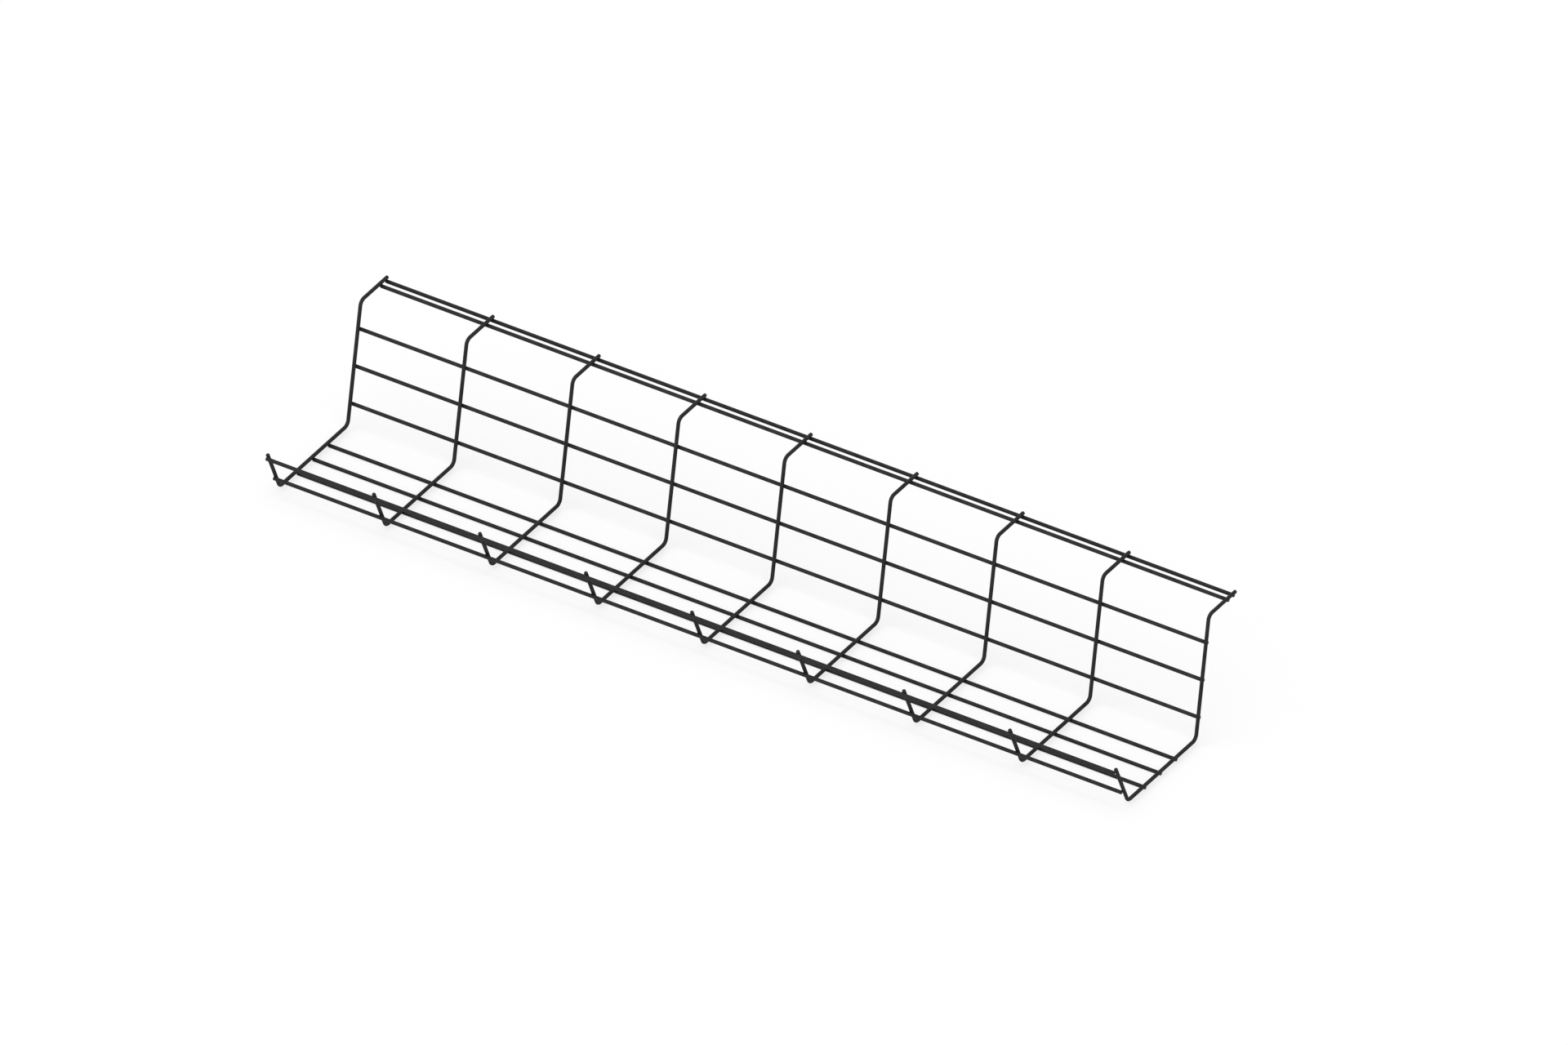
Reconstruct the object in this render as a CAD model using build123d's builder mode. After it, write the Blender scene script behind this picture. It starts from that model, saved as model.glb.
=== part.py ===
"""Welded wire cable tray that hangs under a desk, one metre long.

Nine cross wires, all bent to one profile, stand side by side along X. Ten straight
long wires run along X, welded to the outer side of the cross wires. The profile, seen
from the +X end with the desk above, is a short flange that points back, a wall that
leans back, a level floor and a lip that leans forward.

Millimetres, +X along the tray, +Y towards the desk's back edge, +Z up. The origin is
below the middle of the tray, on the surface that it stands on.
"""

import os
from math import cos, radians, sin

from build123d import *

# Wire
wire_diameter = 4.0
wire_sides = 12  # flat sides that stand for the round, each as far out as the round wire
weld_sink = 0.3  # how far two wires are pressed into each other at a weld
cut_chamfer = 0.4  # broken edge round every cut wire end

# Cross wires. Each leg is measured on the wire's centre line, to its sharp corners.
cross_wire_count = 9
flange_length = 48.6  # from the wall's upper corner to the cut end
wall_length = 138.9
wall_lean = 10.0  # degrees back from upright
floor_depth = 124.9
lip_length = 55.8  # from the floor's front corner to the cut end
lip_rise = 66.8  # degrees up from the floor
bend_radius = 7.0  # centre line, in all three bends

# Long wires. Spacings are centre to centre, measured along the leg that carries them.
long_wire_length = 1000.0  # they end on the outermost cross wires' centre lines
flange_wire_edge = 2.3  # from the flange's cut end to the outer wire
flange_wire_spacing = 9.7
wall_wire_foot = 22.8  # from the wall's lower corner to the lower wire
wall_wire_spacing = 41.7
floor_wire_heel = 35.0  # from the wall's lower corner to the back wire
floor_wire_spacing = 28.6
lip_wire_edge = 2.0  # from the lip's cut end to the upper wire
lip_wire_spacing = 34.5

wire_radius = wire_diameter / 2
wire_offset = wire_diameter - weld_sink  # between the centre lines of two welded wires
cross_wire_pitch = long_wire_length / (cross_wire_count - 1)

# Directions in the profile's plane: along each leg, and out of the tray through it
back = Vector(0, 1, 0)
up = Vector(0, 0, 1)
wall_up = Vector(0, sin(radians(wall_lean)), cos(radians(wall_lean)))
wall_out = Vector(0, cos(radians(wall_lean)), -sin(radians(wall_lean)))
lip_up = Vector(0, -cos(radians(lip_rise)), sin(radians(lip_rise)))
lip_out = Vector(0, -sin(radians(lip_rise)), -cos(radians(lip_rise)))

# The profile's corners, worked out from the wall's lower corner. The front edge of the
# upper lip wire and the cut ends of the flange are equally far from the origin.
lip_reach = floor_depth - lip_up.Y * (lip_length - lip_wire_edge) - lip_out.Y * wire_offset + wire_radius
flange_reach = wall_up.Y * wall_length + flange_length
wall_foot = Vector(0, (lip_reach - flange_reach) / 2, wire_radius + wire_offset)
wall_head = wall_foot + wall_up * wall_length
flange_end = wall_head + back * flange_length
lip_foot = wall_foot - back * floor_depth
lip_end = lip_foot + lip_up * lip_length

# Each long wire: the point on its leg's centre line that it crosses, and the leg's way out
flange_outer_at = flange_end - back * flange_wire_edge
wall_lower_at = wall_foot + wall_up * wall_wire_foot
floor_back_at = wall_foot - back * floor_wire_heel
lip_upper_at = lip_end - lip_up * lip_wire_edge
long_wires = {
    "flange_wire_outer": (flange_outer_at, -up),
    "flange_wire_inner": (flange_outer_at - back * flange_wire_spacing, -up),
    "wall_wire_upper": (wall_lower_at + wall_up * (2 * wall_wire_spacing), wall_out),
    "wall_wire_middle": (wall_lower_at + wall_up * wall_wire_spacing, wall_out),
    "wall_wire_lower": (wall_lower_at, wall_out),
    "floor_wire_back": (floor_back_at, -up),
    "floor_wire_middle": (floor_back_at - back * floor_wire_spacing, -up),
    "floor_wire_front": (floor_back_at - back * (2 * floor_wire_spacing), -up),
    "lip_wire_lower": (lip_upper_at - lip_up * lip_wire_spacing, lip_out),
    "lip_wire_upper": (lip_upper_at, lip_out),
}


def wire_section():
    """The wire's section, with flat sides square to the plane's two axes."""
    return RegularPolygon(wire_radius, wire_sides, major_radius=False, rotation=180 / wire_sides)


def make_long_wire(name, crossing, out):
    """A straight wire along X, outside the cross wires, cut square at both ends."""
    centre = crossing + out * wire_offset
    start = Plane((-long_wire_length / 2, centre.Y, centre.Z), x_dir=out, z_dir=(1, 0, 0))
    with BuildPart() as wire:
        with BuildSketch(start):
            wire_section()
        extrude(amount=long_wire_length)
        ends = wire.edges().group_by(Axis.X)
        chamfer(ends[0] + ends[-1], cut_chamfer)
    wire.part.label = name
    return wire.part


def make_cross_wire(name, x, neighbours):
    """The bent wire at one station, with a seat where each long wire is welded to it."""
    corners = [flange_end, wall_head, wall_foot, lip_foot, lip_end]
    with BuildPart() as wire:
        with BuildLine(Plane.YZ.offset(x)):
            FilletPolyline([(corner.Y, corner.Z) for corner in corners], radius=bend_radius)
        with BuildSketch(Plane((x, flange_end.Y, flange_end.Z), x_dir=(1, 0, 0), z_dir=-back)):
            wire_section()
        sweep()
        flange_cut = wire.faces().sort_by(Axis.Y)[-1]
        lip_cut = wire.faces().sort_by(Axis(lip_foot, lip_up))[-1]
        chamfer(flange_cut.edges() + lip_cut.edges(), cut_chamfer)
        for neighbour in neighbours:
            add(neighbour, mode=Mode.SUBTRACT)
    wire.part.label = name
    return wire.part


def save(part):
    """Write one piece to its own file, named after the piece."""
    export_step(part, f"parts/{part.label}.step")


os.makedirs("parts", exist_ok=True)
long_parts = [make_long_wire(name, crossing, out) for name, (crossing, out) in long_wires.items()]
for part in long_parts:
    save(part)
for number in range(cross_wire_count):
    x = number * cross_wire_pitch - long_wire_length / 2
    save(make_cross_wire(f"cross_wire_{number + 1}", x, long_parts))
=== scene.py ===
"""Looks of the welded wire cable tray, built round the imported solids.

Each CAD wire has a few flat sides. Here a round one stands for it, with soft cut ends and
a nugget of squeezed metal at every weld, all under one satin black powder coat.
Metres, in the row's frame: +X along the tray, +Y towards the flange, +Z up.
"""

import math
import random

import bpy
from mathutils import Matrix, Vector


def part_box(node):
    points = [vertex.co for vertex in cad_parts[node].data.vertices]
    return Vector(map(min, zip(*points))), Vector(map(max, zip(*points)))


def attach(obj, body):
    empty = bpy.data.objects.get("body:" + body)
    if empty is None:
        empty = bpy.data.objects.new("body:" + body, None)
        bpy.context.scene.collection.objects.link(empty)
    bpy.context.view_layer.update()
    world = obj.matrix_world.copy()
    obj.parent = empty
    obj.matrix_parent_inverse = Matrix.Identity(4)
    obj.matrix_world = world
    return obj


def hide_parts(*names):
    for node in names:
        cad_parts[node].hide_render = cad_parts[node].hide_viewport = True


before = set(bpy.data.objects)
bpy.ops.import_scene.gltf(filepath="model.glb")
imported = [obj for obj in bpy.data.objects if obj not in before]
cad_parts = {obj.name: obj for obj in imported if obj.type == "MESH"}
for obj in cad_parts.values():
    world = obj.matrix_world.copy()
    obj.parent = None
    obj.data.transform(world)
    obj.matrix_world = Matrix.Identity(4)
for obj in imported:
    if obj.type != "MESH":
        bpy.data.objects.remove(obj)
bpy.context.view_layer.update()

# The wire, as the solids have it
WIRE_RADIUS = 0.0020
BEND_RADIUS = 0.0070  # on the centre line
LIP_WIRE_EDGE = 0.0020  # from the lip's cut end back to the upper lip wire

# Fineness of the meshes
WIRE_SIDES = 32
BEND_STEPS = 18
END_STEPS = 6
NUGGET_TURN_STEPS = 48
NUGGET_ARC_STEPS = 7

# Small shapes that the solids leave out
END_ROUNDING = 0.00040  # the coat runs round every cut edge
NUGGET_FILLET = 0.00034  # the hollow curve between two welded wires
NUGGET_SIZES = (0.8, 1.2)  # smallest and largest weld, as shares of that curve
NUGGET_WAVES = 3  # waves that make one weld uneven, the first longest and highest
NUGGET_UNEVENNESS = 0.30  # share by which the curve grows and shrinks round a weld
NUGGET_SINK = 0.00002  # how far the nugget's rim lies under the wires' skin
NUGGET_POLE = 0.00030  # how far its two hidden poles lie inside the wires
CUT_END_BULGE = 0.30  # share of the nugget that is left beyond a long wire's cut end

UP = Vector((0, 0, 1))
BACK = Vector((0, 1, 0))
ALONG = Vector((1, 0, 0))

CROSS_WIRES = sorted(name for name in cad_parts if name.startswith("cross_wire"))
LONG_WIRES = sorted(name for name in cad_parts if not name.startswith("cross_wire"))


# Places, read from the frame


def middle(node):
    low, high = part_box(node)
    return (low + high) / 2


def flat(point):
    """The point moved along X into the profile's plane."""
    return Vector((0, point.y, point.z))


def meet(start, direction, height):
    """Where a line in the profile's plane reaches that height."""
    return start + direction * ((height - start.z) / direction.z)


def read_profile():
    """The cross wires' corners on the centre line, from the flange's cut end to the lip's,
    each leg's direction and way out of the tray, and the distance between the centre lines
    of two welded wires."""
    low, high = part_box(CROSS_WIRES[0])
    floor_height = low.z + WIRE_RADIUS
    flange_height = high.z - WIRE_RADIUS
    offset = floor_height - middle("floor_wire_back").z
    wall_low, wall_high = flat(middle("wall_wire_lower")), flat(middle("wall_wire_upper"))
    lip_low, lip_high = flat(middle("lip_wire_lower")), flat(middle("lip_wire_upper"))
    wall_up = (wall_high - wall_low).normalized()
    lip_up = (lip_high - lip_low).normalized()
    wall_out = wall_up.cross(ALONG).normalized()
    lip_out = ALONG.cross(lip_up).normalized()
    wall_foot = meet(wall_low - wall_out * offset, wall_up, floor_height)
    wall_head = meet(wall_low - wall_out * offset, wall_up, flange_height)
    lip_foot = meet(lip_low - lip_out * offset, lip_up, floor_height)
    lip_end = lip_high - lip_out * offset + lip_up * LIP_WIRE_EDGE
    flange_end = Vector((0, high.y, flange_height))
    outs = {"flange": -UP, "wall": wall_out, "floor": -UP, "lip": lip_out}
    legs = {"flange": BACK, "wall": wall_up, "floor": BACK, "lip": lip_up}
    return [flange_end, wall_head, wall_foot, lip_foot, lip_end], legs, outs, offset


CORNERS, LEG_DIRECTION, LEG_OUT, WELD_OFFSET = read_profile()
CUT_END = {"flange": CORNERS[0], "lip": CORNERS[-1]}
NO_CUT_END = 1.0  # room past a weld on a leg that goes on round a bend


# Mesh builders


def rounded_path(corners, radius, steps):
    """Points and directions along straight legs joined by arcs."""
    points = [corners[0]]
    directions = [(corners[1] - corners[0]).normalized()]
    for before, corner, after in zip(corners, corners[1:], corners[2:]):
        way_in = (corner - before).normalized()
        way_out = (after - corner).normalized()
        turn = way_in.angle(way_out)
        axis = way_in.cross(way_out).normalized()
        start = corner - way_in * radius * math.tan(turn / 2)
        centre = start + axis.cross(way_in) * radius
        for step in range(steps + 1):
            spin = Matrix.Rotation(turn * step / steps, 3, axis)
            points.append(centre + spin @ (start - centre))
            directions.append(spin @ way_in)
    points.append(corners[-1])
    directions.append((corners[-1] - corners[-2]).normalized())
    return points, directions


def soften_ends(points, directions):
    """Each ring's centre, direction and radius, with more rings that round both cut ends."""
    rings = []
    for step in range(END_STEPS + 1):
        angle = math.pi / 2 * step / END_STEPS
        inset = END_ROUNDING * (1 - math.sin(angle))
        radius = WIRE_RADIUS - END_ROUNDING * (1 - math.cos(angle))
        rings.append((inset, radius))
    start, way_in = points[0], directions[0]
    end, way_out = points[-1], directions[-1]
    first = [(start + way_in * inset, way_in, radius) for inset, radius in reversed(rings)]
    last = [(end - way_out * inset, way_out, radius) for inset, radius in rings]
    between = [(p, d, WIRE_RADIUS) for p, d in zip(points[1:-1], directions[1:-1])]
    return first + between + last


def seam_point(reach, turn):
    """Where a ball's centre is, at reach from both wires' centre lines, when it has rolled
    that far round their weld: x along the long wire, y along the cross wire's leg, and z
    from the cross wire's centre line towards the long wire's."""
    z = WELD_OFFSET / 2 + (reach - WELD_OFFSET / 2) * math.cos(2 * turn)
    x = math.copysign(math.sqrt(max(reach**2 - z**2, 0)), math.sin(turn))
    y = math.copysign(math.sqrt(max(reach**2 - (z - WELD_OFFSET) ** 2, 0)), math.cos(turn))
    return x, y, z


def unevenness(turn, phases):
    """A wave round a weld, between -1 and 1, made of ever shorter and lower ones."""
    return sum(math.sin((k + 1) * turn + phase) / (k + 1) for k, phase in enumerate(phases)) / 2


class Shape:
    """Vertices and faces that grow piece by piece into one mesh."""

    def __init__(self):
        self.vertices = []
        self.faces = []
        self.smooth = []

    def add_point(self, point):
        self.vertices.append(tuple(point))
        return len(self.vertices) - 1

    def add_face(self, corners, smooth=True):
        self.faces.append(tuple(corners))
        self.smooth.append(smooth)

    def add_band(self, ring_a, ring_b):
        """Four-sided faces between two closed rings of as many points."""
        count = len(ring_a)
        for i in range(count):
            j = (i + 1) % count
            self.add_face((ring_a[i], ring_a[j], ring_b[j], ring_b[i]))

    def add_wire(self, points, directions, side):
        """A round wire along the points. side is square to all the directions."""
        rings = []
        for centre, direction, radius in soften_ends(points, directions):
            across = direction.cross(side)
            ring = []
            for i in range(WIRE_SIDES):
                angle = 2 * math.pi * i / WIRE_SIDES
                spoke = side * math.cos(angle) + across * math.sin(angle)
                ring.append(self.add_point(centre + spoke * radius))
            rings.append(ring)
        for ring_a, ring_b in zip(rings, rings[1:]):
            self.add_band(ring_a, ring_b)
        self.add_face(reversed(rings[0]), smooth=False)
        self.add_face(rings[-1], smooth=False)

    def add_nugget(self, crossing, leg, out, open_side, room, rng):
        """The squeezed metal round one weld: a ball rolled round the seam of two crossed
        cylinders leaves its hollow curve. open_side is the X direction in which the long
        wire has ended, or 0. room is how far the cross wire goes on past the crossing."""
        phases = [rng.uniform(0, 2 * math.pi) for _ in range(NUGGET_WAVES)]
        size = NUGGET_FILLET * rng.uniform(*NUGGET_SIZES)
        largest = (room**2 + WELD_OFFSET**2) / (2 * WELD_OFFSET) - WIRE_RADIUS  # just fills the room

        def place(x, y, z):
            if x * open_side > 0:
                x *= CUT_END_BULGE
            return crossing + ALONG * x + leg * y + out * z

        rings = [[] for _ in range(NUGGET_ARC_STEPS + 1)]
        for i in range(NUGGET_TURN_STEPS):
            turn = 2 * math.pi * i / NUGGET_TURN_STEPS
            ball = size * (1 + NUGGET_UNEVENNESS * unevenness(turn, phases))
            ball += min(0, largest - ball) * max(0, math.cos(turn))
            reach = WIRE_RADIUS + ball
            x, y, z = seam_point(reach, turn)
            centre = Vector((x, y, z))
            share = (WIRE_RADIUS - NUGGET_SINK) / reach
            on_cross_wire = Vector((x * share, y, z * share))
            on_long_wire = Vector((x, y * share, WELD_OFFSET + (z - WELD_OFFSET) * share))
            spoke_a, spoke_b = on_cross_wire - centre, on_long_wire - centre
            for step, ring in enumerate(rings):
                part = step / NUGGET_ARC_STEPS
                length = ball + NUGGET_SINK * (2 * part - 1) ** 2  # longer at the arc's two ends
                spoke = spoke_a.slerp(spoke_b, part).normalized() * length
                ring.append(self.add_point(place(*(centre + spoke))))
        for ring_a, ring_b in zip(rings, rings[1:]):
            self.add_band(ring_a, ring_b)
        low_pole = self.add_point(place(0, 0, WELD_OFFSET / 2 - NUGGET_POLE))
        high_pole = self.add_point(place(0, 0, WELD_OFFSET / 2 + NUGGET_POLE))
        for i in range(NUGGET_TURN_STEPS):
            j = (i + 1) % NUGGET_TURN_STEPS
            self.add_face((rings[0][j], rings[0][i], low_pole))
            self.add_face((rings[-1][i], rings[-1][j], high_pole))

    def to_object(self, name, material):
        mesh = bpy.data.meshes.new(name)
        mesh.from_pydata(self.vertices, [], self.faces)
        mesh.polygons.foreach_set("use_smooth", self.smooth)
        mesh.materials.append(material)
        mesh.validate()
        piece = bpy.data.objects.new(name, mesh)
        bpy.context.scene.collection.objects.link(piece)
        return piece


# Parts that the materials share


def grey(level):
    return (level, level, level, 1)


def seen_directly(nodes, links):
    """1 for the camera, reflections and views through glass, 0 for the light given off."""
    path = nodes.new("ShaderNodeLightPath")
    seen = path.outputs["Is Camera Ray"]
    for ray in ("Is Glossy Ray", "Is Transmission Ray"):
        either = nodes.new("ShaderNodeMath")
        either.operation = "MAXIMUM"
        links.new(seen, either.inputs[0])
        links.new(path.outputs[ray], either.inputs[1])
        seen = either.outputs["Value"]
    return seen


# Powder coat. A scale is in waves to the metre, a height in metres.

COAT_DARK = 0.0095  # the coat's grey runs from this to the next, by random tone and by painted shade in the grain's pits
COAT_LIGHT = 0.0260
COAT_SHINE = 0.12  # specular level, where a plain plastic has 0.5
PIT_ROUGHNESS = 0.70
TOP_ROUGHNESS = 0.46
SHADE_SCALE = 90  # slow change of grey along the wires
GLOSS_SCALE = 240  # slow change of roughness
ORANGE_PEEL_SCALE = 560
ORANGE_PEEL_HEIGHT = 0.00042
GRAIN_SCALE = 2400
GRAIN_HEIGHT = 0.00011
NOISE_LOW = 0.3  # most of a noise's values lie between these two
NOISE_HIGH = 0.7
# Painted shade in the crevices: the coat's colour darkens near other wires, standing in for their
# shade.
PAINTED_SHADE_REACH = 0.008  # painted shade: how near another wire the coat's colour starts to darken
PAINTED_SHADE_BLACK = 0.15  # openness at which the painted shade leaves nothing of the coat's colour
PAINTED_SHADE_CURVE = 1.4  # above 1, the painted shade starts further from the weld
PAINTED_SHADE_SAMPLES = 8  # rays that feel for other wires, for the painted shade


def make_powder_coat():
    """Satin black powder coat: an orange peel under a fine grain whose pits are duller and
    darker, the darkening painted shade, with a slow random change of grey and gloss along the
    wires. Painted shade turns its colour black down the crevices beside the welds."""
    material = bpy.data.materials.new("powder_coat")
    material.use_nodes = True
    nodes, links = material.node_tree.nodes, material.node_tree.links
    shader = nodes["Principled BSDF"]
    shader.inputs["Specular IOR Level"].default_value = COAT_SHINE
    place = nodes.new("ShaderNodeTexCoord").outputs["Object"]

    def noise(scale, detail):
        node = nodes.new("ShaderNodeTexNoise")
        node.inputs["Scale"].default_value = scale
        node.inputs["Detail"].default_value = detail
        links.new(place, node.inputs["Vector"])
        return node.outputs["Fac"]

    def average(value_a, value_b):
        node = nodes.new("ShaderNodeMix")
        node.inputs["Factor"].default_value = 0.5
        links.new(value_a, node.inputs["A"])
        links.new(value_b, node.inputs["B"])
        return node.outputs["Result"]

    def spread(value, low, high):
        """The middle of the noise's range, spread from low to high."""
        node = nodes.new("ShaderNodeMapRange")
        node.inputs["From Min"].default_value = NOISE_LOW
        node.inputs["From Max"].default_value = NOISE_HIGH
        node.inputs["To Min"].default_value = low
        node.inputs["To Max"].default_value = high
        links.new(value, node.inputs["Value"])
        return node.outputs["Result"]

    def painted_crevice_shade():
        """Painted shade mask: 1 on an open surface, less near another wire, 0 deep between two."""
        painted_shade_ao = nodes.new("ShaderNodeAmbientOcclusion")
        painted_shade_ao.samples = PAINTED_SHADE_SAMPLES
        painted_shade_ao.inputs["Distance"].default_value = PAINTED_SHADE_REACH
        stretch = nodes.new("ShaderNodeMapRange")
        stretch.inputs["From Min"].default_value = PAINTED_SHADE_BLACK
        links.new(painted_shade_ao.outputs["AO"], stretch.inputs["Value"])
        curve = nodes.new("ShaderNodeMath")
        curve.operation = "POWER"
        curve.inputs[1].default_value = PAINTED_SHADE_CURVE
        links.new(stretch.outputs["Result"], curve.inputs[0])
        return curve.outputs["Value"]

    def bump(height, distance, under=None):
        node = nodes.new("ShaderNodeBump")
        node.inputs["Strength"].default_value = 1.0
        node.inputs["Distance"].default_value = distance
        links.new(height, node.inputs["Height"])
        if under is not None:
            links.new(under, node.inputs["Normal"])
        return node.outputs["Normal"]

    grain = noise(GRAIN_SCALE, detail=2)
    # The grey: a slow random tone, plus painted shade that darkens the grain's pits.
    tone = nodes.new("ShaderNodeMix")
    tone.data_type = "RGBA"
    tone.inputs["A"].default_value = grey(COAT_DARK)
    tone.inputs["B"].default_value = grey(COAT_LIGHT)
    links.new(spread(average(grain, noise(SHADE_SCALE, detail=4)), 0, 1), tone.inputs["Factor"])
    # Painted shade: the coat's colour is multiplied darker near other wires.
    shade = nodes.new("ShaderNodeMix")
    shade.data_type = "RGBA"
    shade.blend_type = "MULTIPLY"
    shade.inputs["Factor"].default_value = 1.0
    links.new(tone.outputs["Result"], shade.inputs["A"])
    links.new(painted_crevice_shade(), shade.inputs["B"])
    links.new(shade.outputs["Result"], shader.inputs["Base Color"])
    gloss = average(grain, noise(GLOSS_SCALE, detail=3))
    links.new(spread(gloss, PIT_ROUGHNESS, TOP_ROUGHNESS), shader.inputs["Roughness"])
    orange_peel = bump(noise(ORANGE_PEEL_SCALE, detail=1), ORANGE_PEEL_HEIGHT)
    links.new(bump(grain, GRAIN_HEIGHT, orange_peel), shader.inputs["Normal"])
    return material


# The tray

powder_coat = make_powder_coat()


def finish_piece(piece, node):
    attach(piece, "root")
    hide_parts(node)


def make_long_wire(node):
    low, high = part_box(node)
    axis = flat(middle(node))
    shape = Shape()
    shape.add_wire([axis + ALONG * low.x, axis + ALONG * high.x], [ALONG, ALONG], UP)
    finish_piece(shape.to_object("round_" + node, powder_coat), node)


def room_past(crossing, leg):
    """How far the cross wire goes on past that crossing before its cut end's rounding."""
    if leg not in CUT_END:
        return NO_CUT_END
    return (CUT_END[leg] - flat(crossing)).dot(LEG_DIRECTION[leg]) - END_ROUNDING


def make_cross_wire(node):
    x = middle(node).x
    shape = Shape()
    corners = [corner + ALONG * x for corner in CORNERS]
    points, directions = rounded_path(corners, BEND_RADIUS, BEND_STEPS)
    shape.add_wire(points, directions, ALONG)
    for long_wire in LONG_WIRES:
        leg = long_wire.split("_")[0]
        way, out = LEG_DIRECTION[leg], LEG_OUT[leg]
        low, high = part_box(long_wire)
        open_side = (x + WIRE_RADIUS > high.x) - (x - WIRE_RADIUS < low.x)
        crossing = flat(middle(long_wire)) + ALONG * x - out * WELD_OFFSET
        rng = random.Random(node + long_wire)
        shape.add_nugget(crossing, way, out, open_side, room_past(crossing, leg), rng)
    finish_piece(shape.to_object("round_" + node, powder_coat), node)


for long_wire in LONG_WIRES:
    make_long_wire(long_wire)
for cross_wire in CROSS_WIRES:
    make_cross_wire(cross_wire)


# Floor

FLOOR_SIZE = 14.0
FLOOR_COLOUR = 0.60  # as other surfaces get its light
FLOOR_GLOW = 0.65  # share of the white that the camera sees whatever shadow falls
FLOOR_ROUGHNESS = 0.9


def make_floor():
    """A plain pale floor. The camera sees it white, with faint shadows."""
    bpy.ops.mesh.primitive_plane_add(size=FLOOR_SIZE)
    floor = bpy.context.object
    floor.name = "floor"
    material = bpy.data.materials.new("floor")
    material.use_nodes = True
    nodes, links = material.node_tree.nodes, material.node_tree.links
    shader = nodes["Principled BSDF"]
    shader.inputs["Roughness"].default_value = FLOOR_ROUGHNESS
    shader.inputs["Specular IOR Level"].default_value = 0.0
    shader.inputs["Emission Color"].default_value = grey(1)
    seen = seen_directly(nodes, links)
    colour = nodes.new("ShaderNodeMix")
    colour.data_type = "RGBA"
    colour.inputs["A"].default_value = grey(FLOOR_COLOUR)
    colour.inputs["B"].default_value = grey(1 - FLOOR_GLOW)
    links.new(seen, colour.inputs["Factor"])
    links.new(colour.outputs["Result"], shader.inputs["Base Color"])
    glow = nodes.new("ShaderNodeMath")
    glow.operation = "MULTIPLY"
    glow.inputs[1].default_value = FLOOR_GLOW
    links.new(seen, glow.inputs[0])
    links.new(glow.outputs["Value"], shader.inputs["Emission Strength"])
    floor.data.materials.append(material)


make_floor()


# Light

WORLD_LIGHT = 0.42  # strength of the even white light from all round
WORLD_WHITE = 1.0  # strength at which the camera sees that world as plain white
KEY_LIGHT_STRENGTH = 2.58
KEY_LIGHT_SPREAD = 100  # degrees across, as seen from the tray
KEY_LIGHT_AZIMUTH = 0  # degrees, from -Y towards +X
KEY_LIGHT_ELEVATION = 47  # degrees


def direction_to(azimuth, elevation):
    """The way to a lamp or camera, from two angles in radians. Azimuth 0 is at -Y, and a
    quarter turn is at +X."""
    level = math.cos(elevation)
    return Vector((math.sin(azimuth) * level, -math.cos(azimuth) * level, math.sin(elevation)))


def make_world():
    """Even white light, and a plain white where the camera looks past the floor."""
    world = bpy.data.worlds.new("studio")
    bpy.context.scene.world = world
    world.use_nodes = True
    nodes, links = world.node_tree.nodes, world.node_tree.links
    background = nodes["Background"]
    background.inputs["Color"].default_value = grey(1)
    strength = nodes.new("ShaderNodeMapRange")
    strength.inputs["To Min"].default_value = WORLD_LIGHT
    strength.inputs["To Max"].default_value = WORLD_WHITE
    links.new(seen_directly(nodes, links), strength.inputs["Value"])
    links.new(strength.outputs["Result"], background.inputs["Strength"])


def make_key_light():
    """A far, wide and even soft light in front, on the camera's left."""
    azimuth, elevation = math.radians(KEY_LIGHT_AZIMUTH), math.radians(KEY_LIGHT_ELEVATION)
    data = bpy.data.lights.new("key", "SUN")
    data.energy = KEY_LIGHT_STRENGTH
    data.angle = math.radians(KEY_LIGHT_SPREAD)
    light = bpy.data.objects.new("key", data)
    bpy.context.scene.collection.objects.link(light)
    light.rotation_mode = "QUATERNION"
    light.rotation_quaternion = direction_to(azimuth, elevation).to_track_quat("Z", "Y")


make_world()
make_key_light()


# Camera. The photograph is a parallel projection, 1920 by 1280 pixels.

PHOTO_WIDTH = 1920
PHOTO_HEIGHT = 1280
ORIGIN_PX = (918.74, 742.60)  # where the frame's origin shows, from the top left corner
PX_PER_METRE = 1234.32
CAMERA_AZIMUTH = 32.72  # degrees
CAMERA_ELEVATION = 35.264  # degrees
CAMERA_DISTANCE = 3.0  # only has to clear the tray


def make_camera():
    azimuth, elevation = math.radians(CAMERA_AZIMUTH), math.radians(CAMERA_ELEVATION)
    right = Vector((math.cos(azimuth), math.sin(azimuth), 0))
    towards = direction_to(azimuth, elevation)
    up = towards.cross(right)
    shift_right = (PHOTO_WIDTH / 2 - ORIGIN_PX[0]) / PX_PER_METRE
    shift_up = (ORIGIN_PX[1] - PHOTO_HEIGHT / 2) / PX_PER_METRE
    data = bpy.data.cameras.new("camera")
    data.type = "ORTHO"
    data.ortho_scale = PHOTO_WIDTH / PX_PER_METRE
    camera = bpy.data.objects.new("camera", data)
    bpy.context.scene.collection.objects.link(camera)
    camera.location = right * shift_right + up * shift_up + towards * CAMERA_DISTANCE
    camera.rotation_mode = "QUATERNION"
    camera.rotation_quaternion = Matrix((right, up, towards)).transposed().to_quaternion()
    bpy.context.scene.camera = camera


make_camera()

bpy.context.scene.view_settings.view_transform = "Standard"

bpy.context.view_layer.update()
